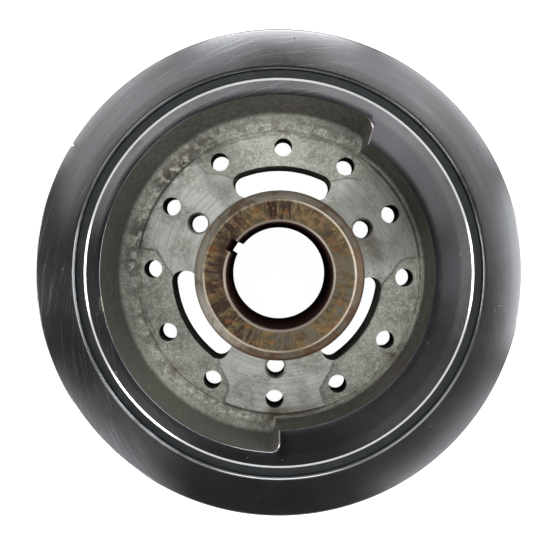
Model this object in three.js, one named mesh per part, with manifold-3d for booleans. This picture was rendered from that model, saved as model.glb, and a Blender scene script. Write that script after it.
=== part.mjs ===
// Crankshaft torsional vibration damper, externally balanced.
// Three pieces: a counterweighted cast hub, an elastomer ring and an inertia ring.
// Millimetres. The bore axis is Z, z = 0 is the inertia ring's front face, and +Z points to the engine.
// Angles are in degrees, counter-clockwise from +X when seen from the engine side.

import * as THREE from 'three';
import { mergeVertices } from 'three/addons/utils/BufferGeometryUtils.js';
import Module from 'manifold-3d';

const wasm = await Module();
wasm.setup();

// ---- Driving dimensions ----

// Radial sizes, from the bore outwards
const boreRadius = 20.32;
const bossWall = 12.08;
const webSpan = 29.7;
const counterweightWidth = 16.4;
const thinRimWidth = 7.1;
const elastomerThickness = 3.5;
const ringWall = 16.4;

// Axial sizes
const ringWidth = 38;
const hubFrontSetback = 1;
const pulleyFaceDepth = 6;
const webThickness = 16;
const washerRecessDepth = 5;
const boreLength = 60;
const elastomerSetback = 1.7;

// Draft and chamfers
const counterweightDraft = 3.2;
const thinRimDraft = 5.6;
const footBandWidth = 5.4;
const footBandRise = 3.5;
const frontRecessDraft = 1.5;
const frontRimWidth = 13;
const bossChamferRadial = 3.6;
const bossChamferAxial = 3;
const bossFootFillet = 2;
const boreChamfer = 0.8;
const rimChamfer = 1.3;
const ringEdgeChamfer = 1.6;
const ringBoreChamfer = 1.5;

// Balance pocket: the part of the rim that is cut back to the thin wall
const pocketStart = 55.6;
const pocketStartSlant = 2.5;
const pocketEnd = 270;
const pocketEndDraft = 1.8;
const pocketCornerRadius = 3.5;

// Keyway, bolt holes, slots and cast recesses
const keyAngle = 147.7;
const keyWidth = 4.8;
const keyDepth = 2.4;
const pulleyBoltAngle = 148;
const pulleyBoltCount = 3;
const pulleyHoleDiameter = 7.94;
const pulleyHoleLand = 4.83;
const webHoleCount = 12;
const webHoleDiameter = 7.9;
const webHoleLand = 3.15;
const washerRecessWidth = 6.5;
const slotSpan = 59;
const slotCornerRadius = 5;
const slotDraft = 0.8;
const slotBossLand = 2.6;
const slotHoleLand = 4.15;
const narrowSlotTrim = 1.6;
const recessDepth = 1.2;
const recessSpan = 77;
const recessWallLand = 1.5;
const recessSlotInset = 3;
const recessSlotOverlap = 1.5;
const recessShoulderInset = 1;
const notchAngle = 148;
const notchWidth = 1.6;
const notchDepth = 1.4;

// How far the middle of a rounded corner lies inside the square corner, as a share of its radius
const cornerSetback = 0.29;

// Largest share of a slot's width that one of its corners may take
const cornerShare = 0.48;

// Clearance between parts that are bonded or pressed together, and cutter overrun
const bondClearance = 0.3;
const overrun = 2;

// Facets in a full turn, in one small hole and in a slot's corner
const ringFacets = 96;
const holeFacets = 24;
const cornerFacets = 4;

// ---- Derived places ----

const bossRadius = boreRadius + bossWall;
const webRadius = bossRadius + webSpan;
const counterweightRadius = webRadius + counterweightDraft;
const rimRadius = counterweightRadius + counterweightWidth;
const thinRimRadius = rimRadius - thinRimWidth;
const bandTopRadius = thinRimRadius - thinRimDraft;
const bandFootRadius = bandTopRadius - footBandWidth;
const ringBoreRadius = rimRadius + elastomerThickness;
const ringRadius = ringBoreRadius + ringWall;

const webFront = pulleyFaceDepth;
const webRear = webFront + webThickness;
const boreFront = webFront + washerRecessDepth;
const bossEnd = boreFront + boreLength;
const washerRecessRadius = boreRadius + washerRecessWidth;
const rimRear = ringWidth;

const pulleyHoleCircle = bossRadius + pulleyHoleLand + pulleyHoleDiameter / 2;
const webHoleCircle = webRadius - webHoleLand - webHoleDiameter / 2;
const slotOuterRadius = webHoleCircle - webHoleDiameter / 2 - slotHoleLand;
const slotInnerRadius = bossRadius + slotBossLand;
const recessRadius = webRadius - recessWallLand;
const pocketSteps = Math.ceil((pocketEnd - pocketStart) / (360 / ringFacets));
const slotSteps = Math.ceil(slotSpan / (360 / ringFacets));
const slotPitch = 360 / pulleyBoltCount;
const firstSlotAngle = pulleyBoltAngle - slotPitch / 2;
const slotTrims = [0, 0, narrowSlotTrim];

// ---- Helpers ----

const radians = THREE.MathUtils.degToRad;

function polar(radius, degrees) {
  return new THREE.Vector2(radius * Math.cos(radians(degrees)), radius * Math.sin(radians(degrees)));
}

// Points along an arc about the bore axis, at the facet spacing of the full rings unless a count is given
function arcPoints(radius, fromDegrees, toDegrees, steps) {
  const count = steps ?? Math.max(2, Math.ceil(Math.abs(toDegrees - fromDegrees) / (360 / ringFacets)));
  const points = [];
  for (let step = 0; step <= count; step += 1) {
    points.push(polar(radius, fromDegrees + (toDegrees - fromDegrees) * step / count));
  }
  return points;
}

function toSolid(geometry) {
  geometry.deleteAttribute('normal');
  geometry.deleteAttribute('uv');
  const merged = mergeVertices(geometry, 1e-4);
  const vertProperties = new Float32Array(merged.attributes.position.array);
  const triVerts = new Uint32Array(merged.index.array);
  return new wasm.Manifold(new wasm.Mesh({ numProp: 3, vertProperties, triVerts }));
}

function toGeometry(solid) {
  const mesh = solid.getMesh();
  const geometry = new THREE.BufferGeometry();
  geometry.setAttribute('position', new THREE.BufferAttribute(mesh.vertProperties, 3));
  geometry.setIndex(new THREE.BufferAttribute(mesh.triVerts, 1));
  geometry.computeVertexNormals();
  return geometry;
}

// A turned solid about Z, from a closed [radius, height] profile
function turned(profile) {
  const closed = [...profile, profile[0]];
  const points = closed.map(([radius, height]) => new THREE.Vector2(radius, height));
  const geometry = new THREE.LatheGeometry(points, ringFacets);
  geometry.rotateX(Math.PI / 2);
  return toSolid(geometry);
}

// A straight-sided solid from a flat outline of points, between two heights
function prism(outline, bottom, top) {
  const settings = { depth: top - bottom, bevelEnabled: false };
  const geometry = new THREE.ExtrudeGeometry(new THREE.Shape(outline), settings);
  geometry.translate(0, 0, bottom);
  return toSolid(geometry);
}

function drill(radius, degrees, diameter) {
  const height = webThickness + 2 * overrun;
  const geometry = new THREE.CylinderGeometry(diameter / 2, diameter / 2, height, holeFacets);
  const centre = polar(radius, degrees);
  geometry.rotateX(Math.PI / 2);
  geometry.translate(centre.x, centre.y, (webFront + webRear) / 2);
  return toSolid(geometry);
}

// ---- Cast hub ----

// Hub section with the full counterweight all the way round
function hubBlank() {
  const frontRimInner = rimRadius - frontRimWidth;
  return turned([
    [washerRecessRadius, webFront],
    [frontRimInner - frontRecessDraft, webFront],
    [frontRimInner, hubFrontSetback],
    [rimRadius - rimChamfer, hubFrontSetback],
    [rimRadius, hubFrontSetback + rimChamfer],
    [rimRadius, rimRear - rimChamfer],
    [rimRadius - rimChamfer, rimRear],
    [counterweightRadius, rimRear],
    [webRadius, webRear],
    [bossRadius + bossFootFillet, webRear],
    [bossRadius, webRear + bossFootFillet],
    [bossRadius, bossEnd - bossChamferAxial],
    [bossRadius - bossChamferRadial, bossEnd],
    [boreRadius + boreChamfer, bossEnd],
    [boreRadius, bossEnd - boreChamfer],
    [boreRadius, boreFront + boreChamfer],
    [boreRadius + boreChamfer, boreFront],
    [washerRecessRadius, boreFront],
  ]);
}

// One level of the pocket: an annular sector with rounded outer corners.
// The start wall leans off the radius, and both end walls are set in by their draft.
function pocketOutline(outerRadius, endInset) {
  const innerRadius = bandFootRadius - pocketCornerRadius - overrun;
  const slantPerRadius = pocketStartSlant / (thinRimRadius - counterweightRadius);
  const insetDegrees = (radius) => THREE.MathUtils.radToDeg(endInset / radius);
  const startAt = (radius) => (
    pocketStart + slantPerRadius * (radius - counterweightRadius) + insetDegrees(radius)
  );
  const endAt = (radius) => pocketEnd - insetDegrees(radius);
  const corner = pocketCornerRadius;
  const turn = THREE.MathUtils.radToDeg(corner / outerRadius);
  const midTurn = turn * cornerSetback;
  const midRadius = outerRadius - corner * cornerSetback;
  const start = startAt(outerRadius);
  const end = endAt(outerRadius);
  return [
    ...arcPoints(innerRadius, endAt(innerRadius), startAt(innerRadius), pocketSteps),
    polar(outerRadius - corner, startAt(outerRadius - corner)),
    polar(midRadius, startAt(midRadius) + midTurn),
    ...arcPoints(outerRadius, start + turn, end - turn, pocketSteps),
    polar(midRadius, endAt(midRadius) - midTurn),
    polar(outerRadius - corner, endAt(outerRadius - corner)),
  ];
}

// Joins outlines with the same number of points into one drafted solid, from the bottom up
function loft(levels) {
  const count = levels[0].outline.length;
  const positions = [];
  for (const { outline, height } of levels) {
    for (const point of outline) {
      positions.push(point.x, point.y, height);
    }
  }
  const faces = [];
  for (let level = 0; level + 1 < levels.length; level += 1) {
    const lower = level * count;
    const upper = lower + count;
    for (let here = 0; here < count; here += 1) {
      const next = (here + 1) % count;
      faces.push(lower + here, lower + next, upper + next);
      faces.push(lower + here, upper + next, upper + here);
    }
  }
  const top = (levels.length - 1) * count;
  for (const [a, b, c] of THREE.ShapeUtils.triangulateShape(levels[0].outline, [])) {
    faces.push(c, b, a);
    faces.push(top + a, top + b, top + c);
  }
  const geometry = new THREE.BufferGeometry();
  geometry.setAttribute('position', new THREE.Float32BufferAttribute(positions, 3));
  geometry.setIndex(faces);
  return toSolid(geometry);
}

// Cuts the rim back to its thin wall: a sloped band at the foot, then the drafted wall
function balancePocket() {
  const wallHeight = rimRear - webRear - footBandRise;
  const overcut = thinRimDraft * overrun / wallHeight;
  return loft([
    { outline: pocketOutline(bandFootRadius, pocketEndDraft), height: webRear },
    { outline: pocketOutline(bandTopRadius, pocketEndDraft), height: webRear + footBandRise },
    { outline: pocketOutline(thinRimRadius + overcut, 0), height: rimRear + overrun },
  ]);
}

// One end of a slot, from its outer wall to its inner wall, as [radius, degrees from the middle]
function slotEnd(outerRadius) {
  const half = slotSpan / 2;
  const corner = Math.min(slotCornerRadius, (outerRadius - slotInnerRadius) * cornerShare);
  const outerCorner = [];
  const innerCorner = [];
  for (let step = 0; step <= cornerFacets; step += 1) {
    const bend = (step / cornerFacets) * (Math.PI / 2);
    const inwards = corner * (1 - Math.cos(bend));
    const short = THREE.MathUtils.radToDeg(corner * (1 - Math.sin(bend)));
    outerCorner.push([outerRadius - inwards, half - short / outerRadius]);
    innerCorner.unshift([slotInnerRadius + inwards, half - short / slotInnerRadius]);
  }
  return [...outerCorner, ...innerCorner];
}

// One level of a slot: an annular sector with rounded corners
function slotOutline(centreDegrees, outerRadius) {
  const end = slotEnd(outerRadius);
  const outerTurn = end[0][1];
  const innerTurn = end[end.length - 1][1];
  const otherEnd = [...end].reverse();
  return [
    ...arcPoints(outerRadius, centreDegrees - outerTurn, centreDegrees + outerTurn, slotSteps),
    ...end.slice(1, -1).map(([radius, turn]) => polar(radius, centreDegrees + turn)),
    ...arcPoints(slotInnerRadius, centreDegrees + innerTurn, centreDegrees - innerTurn, slotSteps),
    ...otherEnd.slice(1, -1).map(([radius, turn]) => polar(radius, centreDegrees - turn)),
  ];
}

// Slot through the web between two pulley bolts, with its outer wall drafted towards the front
function slotCutter(centreDegrees, outerRadius) {
  const overcut = slotDraft * overrun / webThickness;
  const frontRadius = outerRadius - slotDraft;
  return loft([
    { outline: slotOutline(centreDegrees, frontRadius - overcut), height: webFront - overrun },
    { outline: slotOutline(centreDegrees, outerRadius + overcut), height: webRear + overrun },
  ]);
}

// Shallow as-cast area outside a slot; the machined pads stay proud between these
function recessCutter(centreDegrees) {
  const wide = recessSpan / 2;
  const narrow = slotSpan / 2 - recessSlotInset;
  const innerRadius = slotOuterRadius - recessSlotOverlap;
  const shoulder = webHoleCircle - recessShoulderInset;
  const outline = [
    ...arcPoints(innerRadius, centreDegrees + narrow, centreDegrees - narrow),
    polar(shoulder, centreDegrees - wide),
    ...arcPoints(recessRadius, centreDegrees - wide, centreDegrees + wide),
    polar(shoulder, centreDegrees + wide),
  ];
  return prism(outline, webRear - recessDepth, webRear + overrun);
}

// Square keyway, full length of the bore
function keywayCutter() {
  const across = keyWidth / 2;
  const bottom = boreRadius + keyDepth;
  const outline = [
    new THREE.Vector2(boreRadius / 2, -across),
    new THREE.Vector2(bottom, -across),
    new THREE.Vector2(bottom, across),
    new THREE.Vector2(boreRadius / 2, across),
  ];
  for (const point of outline) {
    point.rotateAround(new THREE.Vector2(), radians(keyAngle));
  }
  return prism(outline, webFront - overrun, bossEnd + overrun);
}

function buildHub() {
  let hub = hubBlank().subtract(balancePocket());
  for (let index = 0; index < pulleyBoltCount; index += 1) {
    const slotAngle = firstSlotAngle + index * slotPitch;
    hub = hub.subtract(recessCutter(slotAngle));
    hub = hub.subtract(slotCutter(slotAngle, slotOuterRadius - slotTrims[index]));
    hub = hub.subtract(drill(pulleyHoleCircle, pulleyBoltAngle + index * slotPitch, pulleyHoleDiameter));
  }
  for (let index = 0; index < webHoleCount; index += 1) {
    const holeAngle = pulleyBoltAngle + index * 360 / webHoleCount;
    hub = hub.subtract(drill(webHoleCircle, holeAngle, webHoleDiameter));
  }
  return toGeometry(hub.subtract(keywayCutter()));
}

// ---- Elastomer ring ----

function buildElastomer() {
  const inner = rimRadius + bondClearance;
  const outer = ringBoreRadius - bondClearance;
  const front = hubFrontSetback + elastomerSetback;
  const rear = rimRear - elastomerSetback;
  return toGeometry(turned([
    [inner, front],
    [outer, front],
    [outer, rear],
    [inner, rear],
  ]));
}

// ---- Inertia ring, with one timing notch across its rim ----

function buildInertiaRing() {
  const ring = turned([
    [ringBoreRadius + ringBoreChamfer, 0],
    [ringRadius - ringEdgeChamfer, 0],
    [ringRadius - ringEdgeChamfer * cornerSetback, ringEdgeChamfer * cornerSetback],
    [ringRadius, ringEdgeChamfer],
    [ringRadius, ringWidth - ringEdgeChamfer],
    [ringRadius - ringEdgeChamfer * cornerSetback, ringWidth - ringEdgeChamfer * cornerSetback],
    [ringRadius - ringEdgeChamfer, ringWidth],
    [ringBoreRadius + ringBoreChamfer, ringWidth],
    [ringBoreRadius, ringWidth - ringBoreChamfer],
    [ringBoreRadius, ringBoreChamfer],
  ]);
  const notch = [
    new THREE.Vector2(ringRadius - notchDepth, 0),
    new THREE.Vector2(ringRadius + overrun, -notchWidth * (notchDepth + overrun) / notchDepth / 2),
    new THREE.Vector2(ringRadius + overrun, notchWidth * (notchDepth + overrun) / notchDepth / 2),
  ];
  for (const point of notch) {
    point.rotateAround(new THREE.Vector2(), radians(notchAngle));
  }
  return toGeometry(ring.subtract(prism(notch, -overrun, ringWidth + overrun)));
}

// ---- Assembly ----

const castIron = new THREE.MeshStandardMaterial({ color: 0x7b7d76, roughness: 0.62, metalness: 0.85 });
const rubber = new THREE.MeshStandardMaterial({ color: 0x17191a, roughness: 0.85, metalness: 0 });
const turnedIron = new THREE.MeshStandardMaterial({ color: 0x8e9194, roughness: 0.32, metalness: 1 });

function piece(name, geometry, material) {
  const mesh = new THREE.Mesh(geometry, material);
  mesh.name = name;
  return mesh;
}

const group = new THREE.Group();
group.add(piece('counterweight_hub', buildHub(), castIron));
group.add(piece('elastomer_ring', buildElastomer(), rubber));
group.add(piece('inertia_ring', buildInertiaRing(), turnedIron));

export default group;
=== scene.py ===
import math

import bpy
import numpy as np
from bpy.props import FloatProperty, FloatVectorProperty, IntProperty, PointerProperty
from mathutils import Matrix, Vector, noise


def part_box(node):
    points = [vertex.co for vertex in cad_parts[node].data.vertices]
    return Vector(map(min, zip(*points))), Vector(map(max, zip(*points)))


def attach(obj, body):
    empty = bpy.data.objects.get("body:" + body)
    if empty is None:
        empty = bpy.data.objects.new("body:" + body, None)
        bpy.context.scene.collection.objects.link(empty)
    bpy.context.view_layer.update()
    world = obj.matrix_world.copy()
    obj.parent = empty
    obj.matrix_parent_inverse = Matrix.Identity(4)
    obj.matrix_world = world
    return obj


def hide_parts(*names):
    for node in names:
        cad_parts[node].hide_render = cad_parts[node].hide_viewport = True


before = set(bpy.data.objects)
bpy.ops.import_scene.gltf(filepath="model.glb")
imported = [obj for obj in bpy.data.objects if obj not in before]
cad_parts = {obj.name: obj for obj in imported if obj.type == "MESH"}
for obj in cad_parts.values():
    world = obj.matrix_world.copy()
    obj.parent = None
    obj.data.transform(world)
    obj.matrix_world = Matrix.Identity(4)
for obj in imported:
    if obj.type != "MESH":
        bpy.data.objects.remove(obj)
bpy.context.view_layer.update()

bl_info = {
    "name": "Crankshaft damper",
    "version": (1, 0, 0),
    "blender": (4, 5, 0),
    "location": "View3D > Sidebar > Damper",
    "description": "Builds a counterweighted crankshaft damper: hub, rubber and inertia ring",
    "category": "Mesh",
}

HUB_LOW, HUB_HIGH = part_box("counterweight_hub")
RING_LOW, RING_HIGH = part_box("inertia_ring")
RUBBER_LOW, RUBBER_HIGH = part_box("elastomer_ring")

MM = 0.001
TURN = 2 * math.pi

# The finishes of the hub's faces, in the order of its material slots
TURNED, CAST, BOSS, BORE, DRILLED = range(5)


# ---- Sizes and colours ----


def length(name, description, millimetres):
    """A size in metres, with its default given in millimetres."""
    default = millimetres * MM
    return FloatProperty(
        name=name, description=description, default=default, unit="LENGTH", precision=5
    )


def number(name, description, count):
    """How many of something there are round the bore."""
    return IntProperty(name=name, description=description, default=count, min=1)


def angle(name, description, degrees):
    """An angle, counter-clockwise from +X seen from the engine side."""
    return FloatProperty(
        name=name, description=description, default=math.radians(degrees), subtype="ANGLE"
    )


def colour(name, description, value):
    """A linear surface colour."""
    return FloatVectorProperty(
        name=name, description=description, default=value, subtype="COLOR", min=0, max=1, size=3
    )


class DAMPER_PG_hub(bpy.types.PropertyGroup):
    """Sizes of the cast hub."""

    bore_radius: length("Bore radius", "Radius of the crankshaft bore", 20.32)
    boss_radius: length("Boss radius", "Outside radius of the boss", 32.4)
    face_radius: length("End face radius", "Where the boss chamfer meets its end face", 28.8)
    chamfer_depth: length("Boss chamfer", "Depth of the boss chamfer along the axis", 3.0)
    web_radius: length("Web radius", "Foot of the counterweight's inner wall", 62.1)
    weight_radius: length("Counterweight radius", "Top of the counterweight's inner wall", 65.3)
    rim_radius: length("Rim radius", "Outside radius of the hub", 81.7)
    rim_chamfer: length("Rim chamfer", "Chamfer on the outside of the rim", 1.3)
    thin_radius: length("Thin rim radius", "Inside radius of the thin rim at its top", 74.6)
    band_top: length("Band top radius", "Top of the sloped band at the thin rim's foot", 69.0)
    band_foot: length("Band foot radius", "Foot of the sloped band", 63.6)
    band_rise: length("Band rise", "Height of the sloped band above the web", 3.5)
    web_front: length("Web front", "Height of the pulley face", 6.0)
    bore_front: length("Bore front", "Height of the bore's front end, in the washer recess", 11.0)
    washer_radius: length("Washer recess", "Radius of the recess round the bore's front end", 26.82)
    web_rear: length("Web rear", "Height of the web's engine side", 22.0)
    rim_rear: length("Rim rear", "Height of the rim's engine side", 38.0)
    front_rim: length("Front rim", "Width of the rim's front face", 13.0)
    recess_depth: length("Recess depth", "How far the cast areas lie below the pads", 1.2)
    pocket_start: angle("Pocket start", "Where the balance pocket begins", 55.6)
    pocket_slant: angle("Pocket start slant", "How far the start wall leans off the radius", 2.5)
    pocket_end: angle("Pocket end", "Where the balance pocket ends", 270.0)
    pocket_draft: length("Pocket end draft", "How far the end walls lean inwards", 1.8)
    pocket_corner: length("Pocket corner", "Corner radius of the pocket", 3.5)


class DAMPER_PG_openings(bpy.types.PropertyGroup):
    """Sizes of the holes, slots and keyway."""

    hole_count: number("Web holes", "Plain holes in the web", 12)
    hole_radius: length("Web hole radius", "Radius of a plain hole", 3.95)
    hole_circle: length("Web hole circle", "Radius of the circle they lie on", 55.0)
    bolt_count: number("Pulley holes", "Threaded holes for the pulley, with a slot between each", 3)
    bolt_radius: length("Pulley hole radius", "Radius of a threaded hole's crests", 3.97)
    bolt_circle: length("Pulley hole circle", "Radius of the circle they lie on", 41.2)
    bolt_angle: angle("Pulley hole angle", "Where the first threaded hole lies", 148.0)
    thread_pitch: length("Thread pitch", "Distance from one thread crest to the next", 1.5875)
    thread_depth: length("Thread depth", "Depth of the thread", 0.72)
    slot_inner: length("Slot inner radius", "Inside radius of a slot", 35.0)
    slot_outer: length("Slot outer radius", "Outside radius of a slot", 46.9)
    slot_span: angle("Slot span", "Angle that a slot covers", 59.0)
    slot_corner: length("Slot corner", "Largest corner radius of a slot", 5.0)
    slot_draft: length("Slot draft", "How far a slot's outer wall leans in at the front", 0.8)
    slot_trim: length("Slot trim", "How much narrower the third slot came out", 1.6)
    recess_span: angle("Recess span", "Angle that a cast recess covers", 77.0)
    key_angle: angle("Key angle", "Where the keyway lies", 147.7)
    key_width: length("Key width", "Width of the keyway", 4.8)
    key_depth: length("Key depth", "Depth of the keyway", 2.4)


class DAMPER_PG_rings(bpy.types.PropertyGroup):
    """Sizes of the rubber and the inertia ring."""

    bore_radius: length("Ring bore radius", "Inside radius of the inertia ring", 85.2)
    outer_radius: length("Ring radius", "Outside radius of the inertia ring", RING_HIGH.x / MM)
    bore_chamfer: length("Ring bore chamfer", "Rounding inside the inertia ring", 1.5)
    edge_round: length("Ring edge", "Rounding outside the inertia ring", 0.8)
    notch_angle: angle("Notch angle", "Where the timing notch lies", 148.0)
    notch_width: length("Notch width", "Width of the timing notch", 1.6)
    notch_depth: length("Notch depth", "Depth of the timing notch", 1.4)
    rubber_round: length("Rubber edge", "Rounding of the rubber's edges", 0.5)


class DAMPER_PG_colours(bpy.types.PropertyGroup):
    """Base colours of the finishes."""

    turned: colour("Turned iron", "Machined faces of the rim and the ring", (0.43, 0.435, 0.45))
    cast: colour("Cast iron", "Sand-cast faces", (0.56, 0.565, 0.50))
    pad: colour("Pads", "Lightly brushed pads on the web", (0.72, 0.74, 0.70))
    stain: colour("Oil stain", "Dried oil and rust stain", (0.055, 0.03, 0.014))
    tan: colour("Heat tan", "Tanned face of the boss", (0.19, 0.13, 0.058))
    rust: colour("Rust", "Fresh rust", (0.30, 0.10, 0.02))
    rubber: colour("Rubber", "Moulded rubber", (0.012, 0.017, 0.019))
    paint: colour("Paint mark", "Balancer's paint dab", (0.75, 0.75, 0.6))


# ---- Node helpers ----


def feed(tree, socket, value):
    """Links a socket to another one, or gives it a constant."""
    value = getattr(value, "socket", value)
    if isinstance(value, bpy.types.NodeSocket):
        tree.links.new(value, socket)
    else:
        socket.default_value = value


def add_node(tree, kind, settings=None, inputs=None):
    """Adds a node to a tree: its settings first, then its sockets' values or links."""
    made = tree.nodes.new(kind)
    for key, value in (settings or {}).items():
        setattr(made, key, value)
    for key, value in (inputs or {}).items():
        feed(tree, made.inputs[key], value)
    return made


class Value:
    """A socket that takes part in arithmetic: each operation adds a Math node."""

    def __init__(self, finish, socket):
        self.finish = finish
        self.socket = socket

    def math(self, operation, *others):
        return self.finish.node("Math", {"operation": operation}, dict(enumerate((self, *others))))

    def __add__(self, other):
        return self.math("ADD", other)

    def __mul__(self, other):
        return self.math("MULTIPLY", other)

    def __sub__(self, other):
        return self.math("SUBTRACT", other)

    def __rsub__(self, other):
        return self.finish.node("Math", {"operation": "SUBTRACT"}, {0: other, 1: self})

    def __truediv__(self, other):
        return self.math("DIVIDE", other)

    __radd__ = __add__

    def between(self, low, high):
        """Rises smoothly from 0 at low to 1 at high, or falls if low is above high."""
        return self.finish.node(
            "MapRange",
            {"interpolation_type": "SMOOTHSTEP"},
            {"Value": self, "From Min": low, "From Max": high, "To Min": 0.0, "To Max": 1.0},
        )

    def near(self, middle, reach):
        """1 at middle, falling smoothly to 0 at reach from it."""
        return (self - middle).math("ABSOLUTE").between(reach, 0.0)


class Finish:
    """One procedural finish: a material, its nodes, and where a point lies on the damper."""

    def __init__(self, name):
        self.material = bpy.data.materials.new(name)
        self.material.use_nodes = True
        self.tree = self.material.node_tree
        self.place = self.node("TexCoord", output="Object")
        self.x, self.y, self.z = (
            self.node("SeparateXYZ", inputs={0: self.place}, output=axis) for axis in "XYZ"
        )
        self.radius = (self.x * self.x + self.y * self.y).math("SQRT")
        self.azimuth = self.y.math("ARCTAN2", self.x)

    def node(self, kind, settings=None, inputs=None, output=0):
        made = add_node(self.tree, "ShaderNode" + kind, settings, inputs)
        return Value(self, made.outputs[output])

    def mix(self, share, first, second):
        """A colour between two, first at 0 and second at 1."""
        inputs = {0: share, 6: solid(first), 7: solid(second)}
        return self.node("Mix", {"data_type": "RGBA"}, inputs, output=2)

    def layered(self, base, *layers):
        """A colour under layers, each given as its share and its own colour."""
        for share, colour_over in layers:
            base = self.mix(share, base, colour_over)
        return base

    def noise(self, scale, detail=3.0, vector=None, roughness=0.55, distortion=0.0):
        inputs = {"Vector": vector or self.place, "Scale": scale, "Detail": detail}
        inputs |= {"Roughness": roughness, "Distortion": distortion}
        return self.node("TexNoise", inputs=inputs)

    def cells(self, scale):
        """Distance from the nearest of many scattered points."""
        inputs = {"Vector": self.place, "Scale": scale}
        return self.node("TexVoronoi", {"feature": "F1"}, inputs, "Distance")

    def vector(self, x, y, z):
        return self.node("CombineXYZ", inputs={0: x, 1: y, 2: z})

    def around(self, turns, across):
        """A place on a band round the bore: slow along the turning marks and quick across them."""
        return self.vector(
            self.x / self.radius * turns,
            self.y / self.radius * turns,
            (self.radius + self.z) * across,
        )

    def sector(self, middle, half, soft):
        """1 within half degrees of an azimuth in degrees, falling to 0 over soft degrees."""
        aim = math.radians(middle)
        towards = (self.x * math.cos(aim) + self.y * math.sin(aim)) / self.radius
        return towards.between(math.cos(math.radians(half + soft)), math.cos(math.radians(half)))

    def arcs(self, centre_x, centre_y, fineness, rarity):
        """Fine scratches that curve round a point off the axis, in long lengths."""
        dx = self.x - centre_x
        dy = self.y - centre_y
        reach = (dx * dx + dy * dy).math("SQRT") + self.z
        turn = dy.math("ARCTAN2", dx)
        lines = self.noise(1.0, 2.0, self.vector(reach * fineness, turn * 2.2, 0.0), 0.7)
        return lines.between(rarity, rarity + 0.05)

    def done(self, base, roughness, height, depth, strength, **constants):
        """Feeds the shader its colour, roughness, bump and constant values."""
        inputs = {"Height": height, "Distance": depth, "Strength": strength}
        bump = self.node("Bump", inputs=inputs)
        return self.shaded(Base_Color=base, Roughness=roughness, Normal=bump, **constants)

    def shaded(self, **sockets):
        """Feeds sockets of the shader by name and gives the finished material."""
        shader = self.tree.nodes["Principled BSDF"]
        for name, value in sockets.items():
            feed(self.tree, shader.inputs[name.replace("_", " ")], value)
        return self.material


def solid(value):
    """A colour socket's value, with its fourth part added to a plain colour."""
    return value if isinstance(value, Value) else (*value, 1.0)


def scaled(tone, factor):
    """A plain colour made lighter or darker."""
    return [min(1.0, part * factor) for part in tone]


# ---- Finishes ----


def turned_marks(finish):
    """Height of the fine marks round the bore that a lathe tool leaves."""
    fine = finish.noise(1.0, 1.0, finish.around(0.25, 2300.0), 0.5)
    broad = finish.noise(1.0, 1.0, finish.around(0.3, 520.0), 0.5)
    return fine * 0.5 + broad * 0.5


def handling_scratches(finish):
    """Curved scratches from handling, thickest on the left and at the top."""
    sweep = finish.arcs(0.026, -0.02, 1500.0, 0.60)
    sweep = sweep.math("MAXIMUM", finish.arcs(0.012, -0.026, 1800.0, 0.62))
    worn = finish.noise(24.0, 2.0).between(0.25, 0.5)
    return sweep * worn * (0.1 + finish.sector(150.0, 60.0, 40.0) * 0.36)


def nicks(finish):
    """Small scattered dents and dots."""
    spot = finish.cells(210.0).between(0.11, 0.06)
    chosen = finish.noise(160.0, 0.0).between(0.60, 0.68)
    return spot * chosen


def rim_marks_and_highlight(finish, base, colours, hub):
    """The hub rim's own marks: a chamfer painted near white as a highlight, a purple edge, a brown
    strip and a paint dab.
    """
    radius = finish.radius
    chamfer = radius.between(hub.rim_radius - 1.5 * MM, hub.rim_radius - 1.2 * MM)
    inner = radius.between(hub.thin_radius + 2.5 * MM, hub.thin_radius)
    strip = finish.sector(math.degrees(hub.pocket_end) + 1.0, 1.2, 0.3)
    strip = strip * radius.between(hub.rim_radius - 1 * MM, hub.thin_radius)
    dab = finish.sector(189.5, 2.2, 0.5) * radius.near(hub.thin_radius + 0.7 * MM, 1.6 * MM)
    dab = dab * finish.noise(500.0, 3.0).between(0.38, 0.46)
    return finish.layered(
        base,
        # Painted highlight: the outer chamfer is painted near white
        (chamfer * 0.9, (0.95, 0.95, 0.97)),
        (inner * 0.45, (0.20, 0.17, 0.20)),
        (strip * 0.45, (0.22, 0.16, 0.12)),
        (dab, colours.paint),
    )


def turned_finish(name, colours, tint, edge_radius, edge_width, hub=None):
    """Fine-turned, semi-polished iron with lathe marks, scratches, nicks and a stained edge."""
    finish = Finish(name)
    marks = turned_marks(finish)
    scratches = handling_scratches(finish)
    dents = nicks(finish)
    cloud = finish.noise(22.0, 4.0).between(0.3, 0.75)
    brown = finish.noise(70.0, 5.0).between(0.56, 0.72)
    brown = brown * finish.radius.near(edge_radius, edge_width)
    base = finish.layered(
        colours.turned,
        (marks.between(0.35, 0.65) * 0.3, scaled(colours.turned, 0.72)),
        (cloud * 0.3, tint),
        (scratches * 0.55, (0.78, 0.79, 0.80)),
        (dents * 0.7, (0.10, 0.09, 0.085)),
        (brown * 0.6, colours.stain),
    )
    if hub:
        base = rim_marks_and_highlight(finish, base, colours, hub)
    roughness = 0.15 + marks * 0.06 + cloud * 0.06 + scratches * 0.12 + dents * 0.3
    height = marks + scratches * -0.3 + dents * -2.5
    # A quarter turn spreads the sheen across the marks, as on any turned face
    sheen = {"Metallic": 1.0, "Anisotropic": 0.8, "Anisotropic_Rotation": 0.25}
    return finish.done(base, roughness, height, 0.000008, 0.6, **sheen)


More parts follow.
